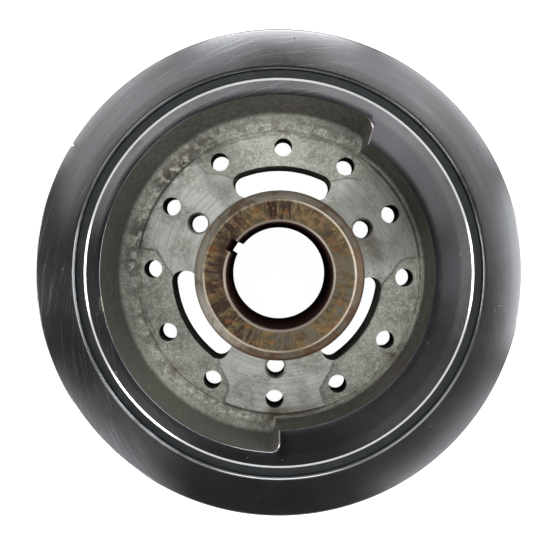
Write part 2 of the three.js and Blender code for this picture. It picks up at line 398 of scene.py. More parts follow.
def cast_finish(colours, hub, holes):
    """Sand-cast iron: gritty, mottled and stained below, faced where the pads stand proud, with
    painted shade on the walls, in the creases and round the boss's foot.
    """
    finish = Finish("cast_iron")
    rear, front = hub.web_rear, hub.web_front
    radius, z, sector = finish.radius, finish.z, finish.sector
    grain = finish.noise(1300.0, 3.0, roughness=0.7)
    sand = finish.noise(560.0, 6.0, roughness=0.72)
    lumps = finish.noise(150.0, 4.0)
    mottle = finish.noise(62.0, 6.0, distortion=0.6).between(0.34, 0.62)
    pits = finish.cells(620.0).between(0.26, 0.1) * finish.noise(240.0, 2.0).between(0.5, 0.62)
    faced = finish.noise(1.0, 2.0, finish.around(1.2, 1300.0), 0.6)
    worn = finish.noise(120.0, 5.0).between(0.34, 0.6)
    # Where things are: the web, its pads, the side walls and the band at their foot
    web = z.between(rear + 1.6 * MM, rear + 0.4 * MM)
    above = z.between(front + 2 * MM, front + 4 * MM)
    wall = z.between(rear + 2.2 * MM, rear + 4.6 * MM)
    inside = radius.between(hub.web_radius - 0.9 * MM, hub.web_radius - 1.9 * MM)
    pad = z.between(rear - 0.55 * MM, rear - 0.2 * MM) * web * inside
    band = radius.near(hub.band_foot + 0.1 * MM, 7.2 * MM) * above
    foot = radius.between(hub.web_radius - 6.1 * MM, hub.web_radius + 0.1 * MM) * web
    # Dirt and painted shade: each share is 1 where its colour covers the iron
    # Painted shade on the side walls and the band at their foot, painted lighter on the lit side
    # round 215 degrees
    shade = finish.mix(sand.between(0.3, 0.62), (0.022, 0.02, 0.015), (0.065, 0.063, 0.05))
    shade = finish.mix(sector(215.0, 45.0, 30.0) * 0.55, shade, (0.095, 0.095, 0.078))
    shaded = wall * 0.95 + (1 - web) * above * (1 - wall) * 0.3
    smudge = sector(129.0, 9.0, 12.0) + sector(168.0, 7.0, 8.0) * 0.6
    soot = (finish.noise(230.0, 6.0, roughness=0.7) + smudge * 0.04).between(0.46, 0.55)
    soot = band * soot * (0.45 + smudge * 0.5)
    pads = ((finish.azimuth - holes.bolt_angle) * 3).math("COSINE").between(0.38, 0.5)
    # Painted shade: a dark line in the groove at the foot of the wall, mostly on the pads
    corner = radius.near(hub.web_radius - 0.5 * MM, 0.9 * MM) * web * (0.2 + pads * 0.8)
    # Painted shade along the pads' step down into the recesses
    step = z.near(rear - 0.5 * MM, 0.6 * MM) * web * inside
    dull = sector(28.0, 18.0, 10.0) * 0.5 + sector(119.0, 6.0, 8.0) * 0.45
    stain = finish.noise(48.0, 5.0, distortion=0.8).between(0.52, 0.68)
    heavy = sector(274.0, 5.0, 8.0) * foot
    stain = stain * (0.12 + sector(345.0, 45.0, 40.0) * 0.5 + foot * 0.3) + heavy * 0.45
    # Painted shade on the web round the boss's foot
    boss_foot_shade = radius.between(hub.boss_radius + 4.6 * MM, hub.boss_radius + 1.1 * MM) * web
    base = finish.layered(
        scaled(colours.cast, 0.62),
        (mottle, colours.cast),
        (sand.between(0.42, 0.62) * 0.6, scaled(colours.cast, 1.5)),
        (grain.between(0.56, 0.42) * 0.45, scaled(colours.cast, 0.32)),
        (shaded, shade),
        (pad * worn * 0.85, colours.pad),
        (pad * faced.between(0.56, 0.36) * 0.5, scaled(colours.pad, 0.5)),
        (soot, (0.05, 0.04, 0.028)),
        (corner * 0.8, (0.05, 0.042, 0.03)),
        (step * 0.5, (0.07, 0.062, 0.045)),
        (dull * web, (0.19, 0.19, 0.165)),
        (stain, (0.09, 0.058, 0.032)),
        (boss_foot_shade * 0.75, (0.06, 0.045, 0.03)),
        (pits * 0.7, (0.05, 0.045, 0.036)),
    )
    grit = 1 - pad * 0.75
    height = (sand * 0.6 + grain * 0.3 + lumps * 0.8 - pits * 0.5) * grit + faced * pad * 0.05
    return finish.done(base, 0.62 - pad * 0.2 + sand * 0.15, height, 0.00032, 0.9, Metallic=0.1)


def boss_finish(colours, hub):
    """The boss: a tanned, rust-streaked end face over a grey-brown chamfer and wall, with painted
    highlights on the face's lips and a painted reflection on the chamfer.
    """
    finish = Finish("boss_iron")
    end = HUB_HIGH.z
    radius, z, sector = finish.radius, finish.z, finish.sector
    foot = end - hub.chamfer_depth
    face = z.between(end - 0.4 * MM, end - 0.2 * MM)
    chamfer = z.between(foot - 0.1 * MM, foot + 0.1 * MM) * (1 - face)
    streaks = finish.noise(1.0, 6.0, finish.around(10.0, 90.0), 0.68, 0.6)
    blotch = finish.noise(130.0, 6.0, distortion=0.6, roughness=0.65)
    spots = finish.noise(430.0, 5.0, roughness=0.65)
    marks = finish.noise(1.0, 3.0, finish.around(1.0, 1500.0), 0.6)
    left = sector(165.0, 60.0, 50.0)
    dark = (streaks * 0.65 + blotch * 0.35 + left * 0.035).between(0.495, 0.575)
    dark = dark * (0.55 + left * 0.45 + sector(95.0, 30.0, 40.0) * 0.15)
    key = radius.between(hub.face_radius - 0.3 * MM, hub.bore_radius + 3.18 * MM)
    key = key * sector(147.7, 8.0, 8.0)
    dark = dark.math("MAXIMUM", key * spots.between(0.3, 0.45))
    bare = (blotch * 0.6 + spots * 0.4).between(0.47, 0.53)
    bare = bare * (0.2 + sector(310.0, 50.0, 40.0) * 0.8)
    orange = finish.noise(1.0, 4.0, finish.vector(finish.x * 170.0, finish.y * 330.0, 0.0), 0.6)
    # Painted highlight on the end face's outer lip, strongest round 5 and 225 degrees, and on its
    # inner lip by the bore, strongest round 205 degrees
    highlight_side = 0.25 + sector(5.0, 50.0, 40.0) * 0.7 + sector(225.0, 35.0, 25.0) * 0.5
    lip = radius.near(hub.face_radius - 0.1 * MM, 0.7 * MM) * highlight_side
    inner_lip = radius.between(hub.bore_radius + 1.18 * MM, hub.bore_radius + 0.78 * MM)
    lip = lip + inner_lip * (0.15 + sector(205.0, 40.0, 30.0) * 0.6)
    tan = finish.layered(
        scaled(colours.tan, 1.25),
        (spots.between(0.35, 0.6), scaled(colours.tan, 0.45)),
        (bare * 0.7, (0.19, 0.172, 0.135)),
        (dark * 0.92, (0.028, 0.010, 0.005)),
        (orange.between(0.56, 0.64) * (1 - bare) * 0.45, colours.rust),
        (lip * spots.between(0.3, 0.45) * 0.9, (0.72, 0.64, 0.5)),
    )
    # Painted reflection: the chamfer is painted lighter round 215 and 95 degrees
    pale = sector(215.0, 14.0, 16.0) + sector(95.0, 12.0, 18.0) * 0.4
    browned = sector(315.0, 60.0, 50.0) * 0.8 * blotch.between(0.38, 0.54)
    edge = radius.between(hub.boss_radius - 1.6 * MM, hub.boss_radius - 0.5 * MM)
    side = finish.layered(
        (0.085, 0.075, 0.056),
        (marks.between(0.35, 0.65), (0.19, 0.172, 0.135)),
        (pale * 0.5, (0.34, 0.32, 0.27)),
        (browned, (0.12, 0.062, 0.026)),
        (blotch.between(0.54, 0.62) * 0.75, (0.07, 0.032, 0.012)),
        (edge * (0.35 + sector(330.0, 80.0, 40.0) * 0.45), (0.085, 0.04, 0.016)),
    )
    wall = finish.layered(
        (0.115, 0.095, 0.07),
        (marks.between(0.35, 0.65), (0.165, 0.145, 0.115)),
        (blotch.between(0.5, 0.68) * 0.6, (0.075, 0.047, 0.027)),
    )
    base = finish.layered(wall, (chamfer, side), (face, tan))
    roughness = 0.44 + dark * face * 0.22 + spots * 0.12 - bare * face * 0.1
    height = spots * 0.4 + marks * 0.35 + dark * face * 0.25 + blotch * 0.3
    return finish.done(base, roughness, height, 0.0001, 0.8, Metallic=0.35)


def bore_finish():
    """The bore and keyway: bored iron, gone dark brown under old oil, with a painted highlight
    round the bore's mouth.
    """
    finish = Finish("bore_iron")
    around = (finish.x / finish.radius * 0.8, finish.y / finish.radius * 0.8, finish.z * 2400.0)
    marks = finish.noise(1.0, 3.0, finish.vector(*around), 0.6)
    blotch = finish.noise(90.0, 5.0, distortion=0.7)
    # Painted highlight on the bore's mouth, lighter than the oily wall below
    lip = finish.z.between(HUB_HIGH.z - 0.9 * MM, HUB_HIGH.z - 0.4 * MM)
    base = finish.layered(
        (0.055, 0.022, 0.02),
        (marks * 0.6, (0.13, 0.07, 0.055)),
        (blotch.between(0.52, 0.66) * 0.6, (0.16, 0.08, 0.035)),
        (lip * 0.6, (0.5, 0.46, 0.4)),
    )
    height = marks + blotch * 0.5
    return finish.done(base, 0.36 + blotch * 0.2, height, 0.00005, 0.7, Metallic=0.6)


def drilled_finish(hub):
    """Walls of the drilled holes and slots: tool marks round the axis, greasy, and painted lighter
    on top as painted light.
    """
    finish = Finish("drilled_iron")
    place = finish.vector(finish.x * 60.0, finish.y * 60.0, finish.z * 2600.0)
    marks = finish.noise(1.0, 3.0, place)
    grime = finish.noise(300.0, 4.0).between(0.4, 0.65)
    # Painted light: the top of each wall is painted lighter
    rim = finish.z.between(hub.web_rear - 1.1 * MM, hub.web_rear - 0.4 * MM)
    base = finish.layered(
        (0.16, 0.15, 0.125),
        (marks * 0.5, (0.34, 0.33, 0.30)),
        (grime * 0.6, (0.05, 0.042, 0.032)),
        (rim * 0.6, (0.5, 0.49, 0.45)),
    )
    return finish.done(base, 0.38 + grime * 0.25, marks, 0.00005, 0.8, Metallic=0.6)


def rubber_finish(colours, hub):
    """Moulded rubber: matte teal-black, with a brown bloom next to the rim."""
    finish = Finish("moulded_rubber")
    skin = finish.noise(900.0, 4.0)
    dust = finish.noise(130.0, 5.0).between(0.5, 0.75)
    bloom = finish.radius.between(hub.rim_radius + 1.5 * MM, hub.rim_radius + 0.5 * MM)
    bloom = bloom * finish.noise(60.0, 4.0).between(0.4, 0.65)
    base = finish.layered(
        colours.rubber,
        (dust * 0.35, (0.05, 0.055, 0.055)),
        (bloom * 0.6, (0.045, 0.028, 0.018)),
    )
    return finish.done(base, 0.5 + skin * 0.2 + dust * 0.1, skin + dust * 0.5, 0.00006, 0.7)


# ---- Mesh helpers ----


def polar(radius, turn):
    return np.stack([radius * np.cos(turn), radius * np.sin(turn)], axis=-1)


def turned_by(points, turn):
    """Points in the plane, turned counter-clockwise round the bore."""
    cosine, sine = math.cos(turn), math.sin(turn)
    return points @ np.array([[cosine, sine], [-sine, cosine]])


def mesh_object(name, vertices, faces):
    """A linked mesh object in metres, at the origin."""
    mesh = bpy.data.meshes.new(name)
    mesh.from_pydata([tuple(v) for v in vertices], [], faces)
    mesh.validate()
    made = bpy.data.objects.new(name, mesh)
    bpy.context.scene.collection.objects.link(made)
    return made


def revolved(name, sections):
    """A closed body from sections round the bore, each with the same number of points."""
    columns, samples = sections.shape[:2]
    faces = []
    for column in range(columns):
        here, there = column * samples, (column + 1) % columns * samples
        for sample in range(samples):
            after = (sample + 1) % samples
            faces.append((here + sample, here + after, there + after, there + sample))
    return mesh_object(name, sections.reshape(-1, 3), faces)


def lofted(name, outlines, heights):
    """A closed body through outlines at rising heights, each with the same number of points."""
    count = len(outlines[0])
    levels = [
        np.column_stack([outline, np.full(count, height)])
        for outline, height in zip(outlines, heights)
    ]
    faces = [tuple(reversed(range(count)))]
    for level in range(len(levels) - 1):
        low = level * count
        for here in range(count):
            after = (here + 1) % count
            faces.append((low + here, low + after, low + count + after, low + count + here))
    top = (len(levels) - 1) * count
    faces.append(tuple(range(top, top + count)))
    return mesh_object(name, np.concatenate(levels), faces)


def ripple(points, scale, octaves=3):
    """Smooth irregularity from -1 to 1 at each point, at a scale in features per metre."""
    return np.array([noise.fractal(Vector(p) * scale, 0.9, 2.1, octaves) for p in points])


def applied(thing):
    """Replaces an object's mesh with what its modifiers make of it, and removes them."""
    graph = bpy.context.evaluated_depsgraph_get()
    mesh = bpy.data.meshes.new_from_object(thing.evaluated_get(graph))
    thing.modifiers.clear()
    old = thing.data
    thing.data = mesh
    bpy.data.meshes.remove(old)
    mesh.name = thing.name
    return thing


def cut(body, *tools):
    """Cuts closed tools out of a closed body and removes the tools."""
    for tool in tools:
        step = body.modifiers.new("cut", "BOOLEAN")
        step.operation = "DIFFERENCE"
        step.solver = "MANIFOLD"
        step.object = tool
        applied(body)
        bpy.data.objects.remove(tool)
    return body


def smooth(thing, degrees):
    """Shades smooth, with edges sharper than an angle kept crisp."""
    thing.data.polygons.foreach_set("use_smooth", [True] * len(thing.data.polygons))
    thing.data.set_sharp_from_angle(angle=math.radians(degrees))


def finished(piece, body, node):
    """Tells the frame which body a piece rides on, and hides the imported part that it stands for.
    """
    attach(piece, body)
    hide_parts(node)
    return piece


# ---- Geometry Nodes ----


class Rule:
    """A Geometry Nodes tree with named inputs, built node by node."""

    def __init__(self, name, inputs):
        self.tree = bpy.data.node_groups.new(name, "GeometryNodeTree")
        new_socket = self.tree.interface.new_socket
        self.names = {}
        for label, kind in {"Geometry": "Geometry", **inputs, "Material": "Material"}.items():
            made = new_socket(label, in_out="INPUT", socket_type="NodeSocket" + kind)
            self.names[label] = made.identifier
        new_socket("Geometry", in_out="OUTPUT", socket_type="NodeSocketGeometry")
        self.start = self.tree.nodes.new("NodeGroupInput")

    def node(self, kind, settings=None, inputs=None):
        return add_node(self.tree, kind, settings, inputs).outputs[0]

    def given(self, label):
        return self.start.outputs[label]

    def maths(self, operation, first, second):
        return self.node("ShaderNodeMath", {"operation": operation}, {0: first, 1: second})

    def end(self, geometry):
        """Realizes the result, gives it the tree's material and sends it out."""
        real = self.node("GeometryNodeRealizeInstances", inputs={"Geometry": geometry})
        inputs = {"Geometry": real, "Material": self.given("Material")}
        painted = self.node("GeometryNodeSetMaterial", inputs=inputs)
        out = self.tree.nodes.new("NodeGroupOutput")
        self.tree.links.new(painted, out.inputs["Geometry"])
        return self

    def apply(self, thing, **values):
        """Runs the tree on an object and keeps the plain mesh."""
        step = thing.modifiers.new(self.tree.name, "NODES")
        step.node_group = self.tree
        for label, value in values.items():
            step[self.names[label.replace("_", " ")]] = value
        return applied(thing)


def repeat_rule():
    """Repeats a shape round the bore: Count copies, the first turned by Start."""
    rule = Rule("Repeat round the bore", {"Count": "Int", "Start": "Float"})
    points = rule.node("GeometryNodePoints", inputs={"Count": rule.given("Count")})
    index = rule.node("GeometryNodeInputIndex")
    pitch = rule.maths("DIVIDE", TURN, rule.given("Count"))
    turn = rule.maths("ADD", rule.maths("MULTIPLY", index, pitch), rule.given("Start"))
    rotation = rule.node("ShaderNodeCombineXYZ", inputs={"Z": turn})
    inputs = {"Points": points, "Instance": rule.given("Geometry"), "Rotation": rotation}
    return rule.end(rule.node("GeometryNodeInstanceOnPoints", inputs=inputs))


def ring_rule():
    """A ring of four-sided section round the bore, with its inner and outer edges rounded."""
    sizes = ("Inner radius", "Outer radius", "Bottom", "Top", "Inner edge", "Outer edge")
    rule = Rule("Turned ring", {**dict.fromkeys(sizes, "Float"), "Segments": "Int"})
    inner, outer, bottom, top, inner_edge, outer_edge = (rule.given(size) for size in sizes)
    middle = rule.maths("MULTIPLY", rule.maths("ADD", inner, outer), 0.5)
    inputs = {"Resolution": rule.given("Segments"), "Radius": middle}
    path = rule.node("GeometryNodeCurvePrimitiveCircle", inputs=inputs)
    width, height = rule.maths("SUBTRACT", outer, inner), rule.maths("SUBTRACT", top, bottom)
    inputs = {"Width": width, "Height": height}
    section = rule.node("GeometryNodeCurvePrimitiveQuadrilateral", inputs=inputs)
    across = rule.node("ShaderNodeSeparateXYZ", inputs={0: rule.node("GeometryNodeInputPosition")})
    outside = rule.maths("GREATER_THAN", across, 0.0)
    gain = rule.maths("MULTIPLY", outside, rule.maths("SUBTRACT", outer_edge, inner_edge))
    inputs = {"Curve": section, "Count": 5, "Radius": rule.maths("ADD", inner_edge, gain)}
    rounded = rule.node("GeometryNodeFilletCurve", {"mode": "POLY"}, inputs)
    inputs = {"Curve": path, "Profile Curve": rounded}
    swept = rule.node("GeometryNodeCurveToMesh", inputs=inputs)
    centre = rule.maths("MULTIPLY", rule.maths("ADD", top, bottom), 0.5)
    rise = rule.node("ShaderNodeCombineXYZ", inputs={"Z": centre})
    inputs = {"Geometry": swept, "Translation": rise}
    return rule.end(rule.node("GeometryNodeTransform", inputs=inputs))


# ---- Hub ----

COLUMNS = 540


def hub_profile(hub):
    """The hub's section as corner points and the number of steps to the next one."""
    bore, face, boss, web = hub.bore_radius, hub.face_radius, hub.boss_radius, hub.web_radius
    weight, rim, washer = hub.weight_radius, hub.rim_radius, hub.washer_radius
    rear, front, top, low, end = hub.web_rear, hub.web_front, hub.rim_rear, HUB_LOW.z, HUB_HIGH.z
    chamfer = hub.rim_chamfer
    chamfer_foot = end - hub.chamfer_depth
    recess = rim - hub.front_rim
    lip = 0.8 * MM
    edge = 0.3 * MM
    return [
        # Boss: end face, chamfer, wall and the fillet at its foot
        (bore + lip, end, 6),
        (face - edge, end, 1),
        (face + edge, end - edge, 5),
        (boss - edge, chamfer_foot + edge, 1),
        (boss, chamfer_foot - edge, 16),
        (boss, rear + 2 * MM, 1),
        (boss + 0.3 * MM, rear + 1 * MM, 1),
        (boss + 1 * MM, rear + 0.3 * MM, 1),
        # Web and the shallow groove round it
        (boss + 2 * MM, rear, 35),
        (web - 0.9 * MM, rear, 1),
        (web - 0.7 * MM, rear - 0.4 * MM, 1),
        (web - 0.2 * MM, rear - 0.4 * MM, 1),
        # Counterweight wall and its rounded top edge
        (web, rear + 0.2 * MM, 1),
        (web + 0.3 * MM, rear + 1.4 * MM, 19),
        (weight - 0.08 * MM, top - 0.4 * MM, 1),
        (weight + 0.1 * MM, top - 0.1 * MM, 1),
        # Rim: engine face, chamfer in two slopes, outside and front face
        (weight + 0.4 * MM, top, 5),
        (rim - chamfer, top, 2),
        (rim - 0.3 * MM, top - chamfer / 2, 1),
        (rim, top - chamfer, 4),
        (rim, low + chamfer, 2),
        (rim - chamfer, low, 3),
        # Front recess down to the pulley face, then the washer recess and the bore
        (recess + 0.5 * MM, low, 1),
        (recess, low + 0.5 * MM, 6),
        (recess - 1.2 * MM, front - 1.2 * MM, 1),
        (recess - 2.7 * MM, front, 6),
        (washer + lip / 2, front, 1),
        (washer, front + lip / 2, 3),
        (washer, hub.bore_front, 4),
        (bore + lip, hub.bore_front, 1),
        (bore, hub.bore_front + lip, 12),
        (bore, end - lip, 1),
    ]


def sampled(corners):
    """Points along a closed profile, evenly spaced between its corners."""
    points = []
    for (radius, height, steps), (next_radius, next_height, _) in zip(
        corners, corners[1:] + corners[:1]
    ):
        for step in range(steps):
            share = step / steps
            points.append(
                (radius + (next_radius - radius) * share, height + (next_height - height) * share)
            )
    return np.array(points)


def smooth_step(value, low, high):
    share = np.clip((value - low) / (high - low), 0, 1)
    return share * share * (3 - 2 * share)


def recess_share(hub, holes, radius, turn, wander):
    """1 in the cast recesses outside the slots, 0 on the pads, with wandering edges."""
    pitch = TURN / holes.bolt_count
    middle = holes.bolt_angle - pitch / 2
    off = np.abs((turn - middle + pitch / 2) % pitch - pitch / 2)
    recess_inner = holes.slot_outer - 1.5 * MM
    wide = np.interp(
        radius,
        [recess_inner, holes.hole_circle - 1 * MM],
        [holes.slot_span / 2 - math.radians(3), holes.recess_span / 2],
    )
    beside = (wide - off) * radius + wander * 0.8 * MM
    inside = radius - recess_inner + wander * 0.4 * MM
    outside = hub.web_radius - 1.5 * MM - radius + wander * 0.5 * MM
    share = smooth_step(beside, -0.6 * MM, 0.8 * MM)
    share = share * smooth_step(inside, -0.5 * MM, 0.5 * MM)
    return share * smooth_step(outside, -0.4 * MM, 0.6 * MM)


def hub_blank(hub, holes):
    """The hub with a full counterweight all round, an uneven cast web and a rough wall."""
    profile = sampled(hub_profile(hub))
    turns = np.arange(COLUMNS) * TURN / COLUMNS
    radius = np.tile(profile[:, 0], (COLUMNS, 1))
    height = np.tile(profile[:, 1], (COLUMNS, 1))
    turn = np.tile(turns[:, None], (1, len(profile)))
    flat = polar(radius, turn)
    points = np.concatenate([flat, height[..., None]], axis=-1)
    rear = hub.web_rear
    web = (radius > hub.boss_radius + 0.5 * MM) & (radius < hub.web_radius - 0.8 * MM)
    web &= (height > rear - 1 * MM) & (height < rear + 1.2 * MM)
    wall = (radius >= hub.web_radius - 0.2 * MM) & (radius < hub.weight_radius)
    wall &= (height > rear) & (height < hub.rim_rear - 0.5 * MM)
    spots = points[web]
    low = recess_share(hub, holes, radius[web], turn[web], ripple(spots, 180))
    rough = ripple(spots, 420, 4)
    points[..., 2][web] -= hub.recess_depth * low
    points[..., 2][web] += rough * (0.04 + 0.17 * low) * MM
    fade = smooth_step(hub.rim_rear - height[wall], 0, 3 * MM)
    push = ripple(points[wall], 260, 4) * 0.18 * MM * fade
    outward = flat[wall] / radius[wall][:, None]
    points[wall, :2] += outward * push[:, None]
    return revolved("counterweight_hub_visual", points)


def pocket_outline(hub, height):
    """The balance pocket's outline at one height, counter-clockwise."""
    rear, top = hub.web_rear, hub.rim_rear
    band = rear + hub.band_rise
    slope = (hub.thin_radius - hub.band_top) / (top - band)
    wall = np.array(
        [
            (rear, hub.band_foot),
            (band - 0.6 * MM, hub.band_top - 0.8 * MM),
            (band + 0.8 * MM, hub.band_top + 0.8 * MM * slope),
            (top - 0.4 * MM, hub.thin_radius - 0.4 * MM * slope),
            (top - 0.1 * MM, hub.thin_radius + 0.1 * MM),
            (top, hub.thin_radius + 0.4 * MM),
        ]
    )
    outer = float(np.interp(height, wall[:, 0], wall[:, 1]))
    flare = float(np.interp(height, [top - 0.4 * MM, top], [0, 0.4 * MM]))
    inset = hub.pocket_draft * max(0.0, top - height) / (top - rear) - flare
    inner = hub.web_radius - 6 * MM
    corner = hub.pocket_corner
    lean = hub.pocket_slant / (hub.thin_radius - hub.weight_radius)

    def start_at(radius):
        return hub.pocket_start + lean * (radius - hub.weight_radius) + inset / radius

    def end_at(radius):
        return hub.pocket_end - inset / radius

    bend = np.linspace(0, math.pi / 2, 8)[1:-1]
    bend_radius = outer - corner * (1 - np.sin(bend))
    bend_turn = corner * (1 - np.cos(bend)) / outer
    side = np.linspace(inner, outer - corner, 14)
    reach = corner / outer
    arc = np.linspace(start_at(outer) + reach, end_at(outer) - reach, 330)
    back = np.linspace(end_at(inner), start_at(inner), 90)[1:-1]
    stretches = (
        (side, start_at(side)),
        (bend_radius, start_at(bend_radius) + bend_turn),
        (np.full(arc.size, outer), arc),
        (bend_radius[::-1], end_at(bend_radius[::-1]) - bend_turn[::-1]),
        (side[::-1], end_at(side[::-1])),
        (np.full(back.size, inner), back),
    )
    return polar(*(np.concatenate(part) for part in zip(*stretches)))


def pocket_tool(hub):
    """Cuts the counterweight back to the thin rim, and leaves a rough cast wall."""
    rear, top = hub.web_rear, hub.rim_rear
    heights = np.concatenate(
        [
            rear + np.array([0.15, 0.7, 1.4, 2.1, 2.9, 3.5, 4.3]) * MM,
            np.linspace(rear + 5.1 * MM, top - 0.9 * MM, 15),
            top + np.array([-0.4, -0.1, 0.0, 0.6, 2.0]) * MM,
        ]
    )
    outlines = []
    for height in heights:
        outline = pocket_outline(hub, height)
        along = np.roll(outline, -1, axis=0) - np.roll(outline, 1, axis=0)
        outward = np.stack([along[:, 1], -along[:, 0]], axis=-1)
        outward /= np.linalg.norm(outward, axis=1)[:, None]
        spots = np.column_stack([outline, np.full(len(outline), height)])
        turn = np.arctan2(outline[:, 1], outline[:, 0])
        broken = smooth_step(np.abs(turn - hub.pocket_start - 0.02), 0.06, 0.03)
        calm = 1 - 0.75 * smooth_step(np.array(height), top - 2 * MM, top)
        amount = (0.16 + 0.3 * broken) * MM * calm
        outlines.append(outline + outward * (ripple(spots, 330, 4) * amount)[:, None])
    return lofted("pocket_tool", outlines, heights)


def slot_outline(inner, outer, half, corner):
    """A sector with rounded corners, counter-clockwise, centred on +X."""
    corner = min(corner, (outer - inner) * 0.48)
    bend = np.linspace(0, math.pi / 2, 10)
    out_turn = half - corner * (1 - np.sin(bend)) / outer
    out_radius = outer - corner * (1 - np.cos(bend))
    in_turn = half - corner * (1 - np.sin(bend)) / inner
    in_radius = inner + corner * (1 - np.cos(bend))
    arc = np.linspace(-1, 1, 42)[1:-1]
    stretches = (
        (np.full(arc.size, outer), arc * out_turn[0]),
        (out_radius, out_turn),
        (in_radius[::-1], in_turn[::-1]),
        (np.full(arc.size, inner), -arc * in_turn[0]),
        (in_radius, -in_turn),
        (out_radius[::-1], -out_turn[::-1]),
    )
    return polar(*(np.concatenate(part) for part in zip(*stretches)))


def slot_tool(hub, holes, index):
    """One slot between two pulley holes, its outer wall drafted towards the front."""
    depth = hub.web_rear - hub.web_front
    overrun = 2 * MM
    outer = holes.slot_outer - (holes.slot_trim if index == holes.bolt_count - 1 else 0)
    turn = holes.bolt_angle + (index - 0.5) * TURN / holes.bolt_count
    heights = [hub.web_front - overrun, hub.web_rear + overrun]
    outlines = []
    for height in heights:
        radius = outer + holes.slot_draft * (height - hub.web_rear) / depth
        outline = slot_outline(holes.slot_inner, radius, holes.slot_span / 2, holes.slot_corner)
        outlines.append(turned_by(outline, turn))
    return lofted("slot_tool", outlines, heights)


def round_tool(name, place, radii, heights):
    """A round tool at a distance from the bore along +X, from radii[level][step] at each height."""
    around = len(radii[0])
    turn = np.arange(around) * TURN / around
    outlines = [polar(row, turn) + [place, 0] for row in radii]
    return lofted(name, outlines, heights)


def thread_tool(hub, holes):
    """A threaded hole with a small countersink at each face."""
    around = 28
    overrun = 1.6 * MM
    turn = np.arange(around) * TURN / around
    heights = np.arange(hub.web_front - overrun, hub.web_rear + overrun, holes.thread_pitch / 8)
    radii = []
    for height in heights:
        phase = (height / holes.thread_pitch - turn / TURN) % 1
        groove = np.clip(1.25 - 2.75 * np.abs(phase - 0.5), 0, 1)
        row = holes.bolt_radius + holes.thread_depth * groove
        depth = min(height - hub.web_front, hub.web_rear - height)
        radii.append(np.maximum(row, holes.bolt_radius + 0.9 * MM - depth))
    return round_tool("thread_tool", holes.bolt_circle, radii, heights)


def plain_tool(hub, holes):
    """A plain drilled hole."""
    heights = [hub.web_front - 2 * MM, hub.web_rear + 2 * MM]
    radii = [np.full(40, holes.hole_radius)] * 2
    return round_tool("drill_tool", holes.hole_circle, radii, heights)


def key_tool(hub, holes):
    """The keyway, the full length of the bore."""
    across = holes.key_width / 2
    far = hub.bore_radius + holes.key_depth
    near = hub.bore_radius / 2
    corners = np.array([(near, -across), (far, -across), (far, across), (near, across)])
    turned = turned_by(corners, holes.key_angle)
    return lofted("key_tool", [turned, turned], [hub.bore_front - 1 * MM, HUB_HIGH.z + 2 * MM])


def hub_zones(piece, hub, holes):
    """The finish of each face on the hub, from where the face lies and which way it looks."""
    mesh = piece.data
    count = len(mesh.polygons)
    centre = np.zeros(count * 3)
    normal = np.zeros(count * 3)
    mesh.polygons.foreach_get("center", centre)
    mesh.polygons.foreach_get("normal", normal)
    centre = centre.reshape(-1, 3)
    height = centre[:, 2]
    radius = np.hypot(centre[:, 0], centre[:, 1])
    upward = normal.reshape(-1, 3)[:, 2]
    hair = 0.1 * MM
    zone = np.full(count, CAST)
    zone[(height > hub.rim_rear - 0.45 * MM) & (radius > hub.weight_radius - 2 * hair)] = TURNED
    zone[radius > hub.rim_radius - hub.rim_chamfer - hair] = TURNED
    zone[height < HUB_LOW.z + 3 * hair] = TURNED
    zone[(height < hub.bore_front + 3 * hair) & (upward < -0.95)] = TURNED
    zone[(radius < hub.boss_radius + 1.6 * MM) & (height > hub.web_rear + 2 * hair)] = BOSS
    off_key = np.arctan2(centre[:, 1], centre[:, 0]) - holes.key_angle
    off_key = (off_key + math.pi) % TURN - math.pi
    in_key = np.abs(off_key) * radius < holes.key_width / 2 + hair
    in_key &= radius < hub.bore_radius + holes.key_depth + hair
    zone[(radius < hub.bore_radius + 0.7 * MM) | (in_key & (np.abs(upward) < 0.5))] = BORE
    wall = (height > hub.web_front) & (height < hub.web_rear + 3 * hair)
    wall &= np.abs(upward) < 0.9
    for circle, number_round, size, sink in (
        (holes.hole_circle, holes.hole_count, holes.hole_radius, 0.3 * MM),
        (holes.bolt_circle, holes.bolt_count, holes.bolt_radius, 1.2 * MM),
    ):
        for index in range(number_round):
            place = polar(circle, holes.bolt_angle + index * TURN / number_round)
            off = np.hypot(centre[:, 0] - place[0], centre[:, 1] - place[1])
            zone[wall & (off < size + sink)] = DRILLED
    slot_wall = wall & (np.abs(upward) < 0.1) & (radius < holes.slot_outer + 3 * hair)
    zone[slot_wall & (radius > holes.slot_inner - 3 * hair)] = DRILLED
    return zone


class DAMPER_OT_hub(bpy.types.Operator):
    """Build the counterweighted cast hub"""

    bl_idname = "damper.build_hub"
    bl_label = "Hub"

    def execute(self, context):
        scene = context.scene
        hub, holes, colours = scene.damper_hub, scene.damper_openings, scene.damper_colours
        drilled = drilled_finish(hub)
        repeat = repeat_rule()
        slots = [slot_tool(hub, holes, index) for index in range(holes.bolt_count)]
        threads = thread_tool(hub, holes)
        repeat.apply(threads, Count=holes.bolt_count, Start=holes.bolt_angle, Material=drilled)
        drills = plain_tool(hub, holes)
        repeat.apply(drills, Count=holes.hole_count, Start=holes.bolt_angle, Material=drilled)
        piece = hub_blank(hub, holes)
        cut(piece, pocket_tool(hub), *slots, threads, drills, key_tool(hub, holes))
        piece.data.materials.clear()
        purple = (0.44, 0.43, 0.47)
        for finish in (
            turned_finish("turned_rim", colours, purple, hub.rim_radius, 4 * MM, hub),
            cast_finish(colours, hub, holes),
            boss_finish(colours, hub),
            bore_finish(),
            drilled,
        ):
            piece.data.materials.append(finish)
        piece.data.polygons.foreach_set("material_index", hub_zones(piece, hub, holes))
        smooth(piece, 32)
        finished(piece, "hub", "counterweight_hub")
        return {"FINISHED"}


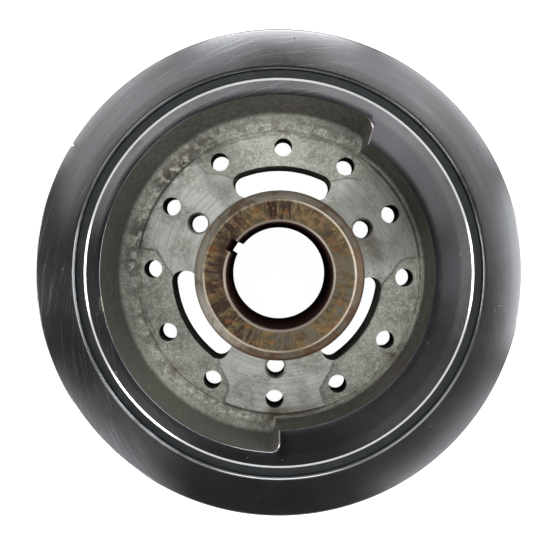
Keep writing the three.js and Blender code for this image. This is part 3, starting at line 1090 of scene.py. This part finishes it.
class DAMPER_OT_rubber(bpy.types.Operator):
    """Build the bonded rubber ring between hub and inertia ring"""

    bl_idname = "damper.build_rubber"
    bl_label = "Rubber ring"

    def execute(self, context):
        scene = context.scene
        hub, rings = scene.damper_hub, scene.damper_rings
        piece = mesh_object("elastomer_ring_visual", [], [])
        ring_rule().apply(
            piece,
            Inner_radius=hub.rim_radius + 0.05 * MM,
            Outer_radius=rings.bore_radius - 0.05 * MM,
            Bottom=RUBBER_LOW.z,
            Top=RUBBER_HIGH.z,
            Inner_edge=rings.rubber_round,
            Outer_edge=rings.rubber_round,
            Segments=360,
            Material=rubber_finish(scene.damper_colours, hub),
        )
        smooth(piece, 40)
        finished(piece, "hub", "elastomer_ring")
        return {"FINISHED"}


class DAMPER_OT_ring(bpy.types.Operator):
    """Build the inertia ring with its timing notch"""

    bl_idname = "damper.build_inertia_ring"
    bl_label = "Inertia ring"

    def execute(self, context):
        scene = context.scene
        rings = scene.damper_rings
        piece = mesh_object("inertia_ring_visual", [], [])
        colours = scene.damper_colours
        cool = (0.40, 0.42, 0.45)
        finish = turned_finish("turned_ring", colours, cool, rings.bore_radius, 3 * MM)
        ring_rule().apply(
            piece,
            Inner_radius=rings.bore_radius,
            Outer_radius=rings.outer_radius,
            Bottom=RING_LOW.z,
            Top=RING_HIGH.z,
            Inner_edge=rings.bore_chamfer,
            Outer_edge=rings.edge_round,
            Segments=720,
            Material=finish,
        )
        overrun = 2 * MM
        half = rings.notch_width / 2 * (rings.notch_depth + overrun) / rings.notch_depth
        root, outside = rings.outer_radius - rings.notch_depth, rings.outer_radius + overrun
        wedge = np.array([(root, 0), (outside, -half), (outside, half)])
        wedge = turned_by(wedge, rings.notch_angle)
        ends = [RING_LOW.z - overrun, RING_HIGH.z + overrun]
        cut(piece, lofted("notch_tool", [wedge, wedge], ends))
        piece.data.materials.clear()
        piece.data.materials.append(finish)
        smooth(piece, 32)
        finished(piece, "ring", "inertia_ring")
        return {"FINISHED"}


# ---- Stage ----


# Each lamp's tilt from straight overhead and turn round the bore in degrees, width and watts
SOFTBOXES = {
    "top": (40, 90, 0.40, 2.05),
    "top_left": (40, 135, 0.40, 0.83),
    "top_right": (40, 45, 0.40, 0.94),
    "right": (40, 0, 0.40, 1.16),
    "bottom_right": (40, 315, 0.40, 0.5),
    "bottom_left": (40, 225, 0.40, 0.31),
    "low_left": (65, 180, 0.40, 2.6),
    "low_right": (65, 0, 0.40, 3.5),
    "low_bottom_left": (65, 225, 0.40, 3.5),
    "overhead_1": (17, 30, 0.17, 0.047),
    "overhead_2": (17, 60, 0.17, 0.076),
    "overhead_3": (17, 120, 0.17, 0.061),
    "overhead_4": (17, 150, 0.17, 0.055),
}


def softbox(name, tilt, turn, size, watts):
    """A square lamp a metre from the damper, facing it."""
    lamp = bpy.data.lights.new(name, "AREA")
    lamp.size = size
    lamp.energy = watts
    made = bpy.data.objects.new(name, lamp)
    bpy.context.scene.collection.objects.link(made)
    away = math.sin(tilt)
    made.location = (away * math.cos(turn), away * math.sin(turn), math.cos(tilt))
    aim = Vector((0, 0, 0.03)) - made.location
    made.rotation_euler = aim.to_track_quat("-Z", "Y").to_euler()
    return made


def studio_world():
    """A pale room: bright round the horizon, dark overhead and under the table."""
    world = bpy.data.worlds.new("studio")
    world.use_nodes = True
    tree = world.node_tree
    place = add_node(tree, "ShaderNodeTexCoord").outputs["Generated"]
    up = add_node(tree, "ShaderNodeSeparateXYZ", inputs={0: place}).outputs["Z"]
    halved = {0: up, 1: 0.5, 2: 0.5}
    height = add_node(tree, "ShaderNodeMath", {"operation": "MULTIPLY_ADD"}, halved)
    level = add_node(tree, "ShaderNodeValToRGB", inputs={0: height.outputs[0]})
    # Places on the ramp, 0 straight down and 1 straight up, and how bright the room is there
    stops = ((0.49, 0.0), (0.5, 1.0), (0.62, 0.9), (0.85, 0.03), (1.0, 0.02))
    while len(level.color_ramp.elements) < len(stops):
        level.color_ramp.elements.new(1.0)
    for element, (position, glow) in zip(level.color_ramp.elements, stops):
        element.position = position
        element.color = (glow, glow, glow, 1.0)
    tree.links.new(level.outputs[0], tree.nodes["Background"].inputs["Color"])
    return world


def floor_finish():
    """A pale, evenly lit table top."""
    finish = Finish("pale_table")
    grain = finish.noise(40.0, 2.0)
    base = finish.mix(grain, (0.86, 0.86, 0.86), (0.88, 0.88, 0.88))
    glow = {"Emission_Color": (1, 1, 1, 1), "Emission_Strength": 0.98}
    return finish.shaded(Base_Color=base, Roughness=0.6, **glow)


class DAMPER_OT_stage(bpy.types.Operator):
    """Set the floor, the lamps and the camera"""

    bl_idname = "damper.set_stage"
    bl_label = "Stage"

    def execute(self, context):
        scene = context.scene
        far = 60.0  # so far out that the floor's edge falls on the horizon
        corners = [(-far, -far, 0), (far, -far, 0), (far, far, 0), (-far, far, 0)]
        floor = mesh_object("floor", corners, [(0, 1, 2, 3)])
        floor.data.materials.append(floor_finish())
        # The floor doesn't light the damper: its hole walls stay dark
        floor.visible_diffuse = False
        floor.visible_glossy = False
        scene.world = studio_world()
        scene.view_settings.view_transform = "Standard"
        for name, (tilt, turn, size, watts) in SOFTBOXES.items():
            softbox(name, math.radians(tilt), math.radians(turn), size, watts)
        camera = bpy.data.cameras.new("camera")
        camera.lens = 53.45
        camera.sensor_width = 36.0
        camera.clip_start = 0.01
        holder = bpy.data.objects.new("camera", camera)
        scene.collection.objects.link(holder)
        # Almost straight down the bore, a third of a metre above the rim
        place, aim = Vector((-0.0023, 0.007, 0.378)), Vector((-0.0017, -0.0004, 0.038))
        forward = (aim - place).normalized()
        right = forward.cross(Vector((0, 1, 0))).normalized()
        turn = Matrix((right, right.cross(forward), -forward)).transposed()
        holder.location = place
        holder.rotation_euler = turn.to_euler()
        scene.camera = holder
        return {"FINISHED"}


class DAMPER_PT_panel(bpy.types.Panel):
    """The damper's pieces, in the 3D view's sidebar"""

    bl_idname = "DAMPER_PT_panel"
    bl_label = "Crankshaft damper"
    bl_space_type = "VIEW_3D"
    bl_region_type = "UI"
    bl_category = "Damper"

    def draw(self, context):
        scene = context.scene
        for operator in OPERATORS:
            self.layout.operator(operator.bl_idname)
        for name in GROUPS:
            box = self.layout.box()
            settings = getattr(scene, name)
            box.label(text=settings.bl_rna.description)
            for key in settings.__annotations__:
                box.prop(settings, key)


GROUPS = {
    "damper_hub": DAMPER_PG_hub,
    "damper_openings": DAMPER_PG_openings,
    "damper_rings": DAMPER_PG_rings,
    "damper_colours": DAMPER_PG_colours,
}
OPERATORS = (DAMPER_OT_stage, DAMPER_OT_hub, DAMPER_OT_rubber, DAMPER_OT_ring)
CLASSES = (*GROUPS.values(), *OPERATORS, DAMPER_PT_panel)


def register():
    for kind in CLASSES:
        bpy.utils.register_class(kind)
    for name, group in GROUPS.items():
        setattr(bpy.types.Scene, name, PointerProperty(type=group))


def unregister():
    for name in GROUPS:
        delattr(bpy.types.Scene, name)
    for kind in reversed(CLASSES):
        bpy.utils.unregister_class(kind)


def main():
    register()
    bpy.ops.damper.set_stage()
    bpy.ops.damper.build_hub()
    bpy.ops.damper.build_rubber()
    bpy.ops.damper.build_inertia_ring()


if __name__ == "__main__":
    main()
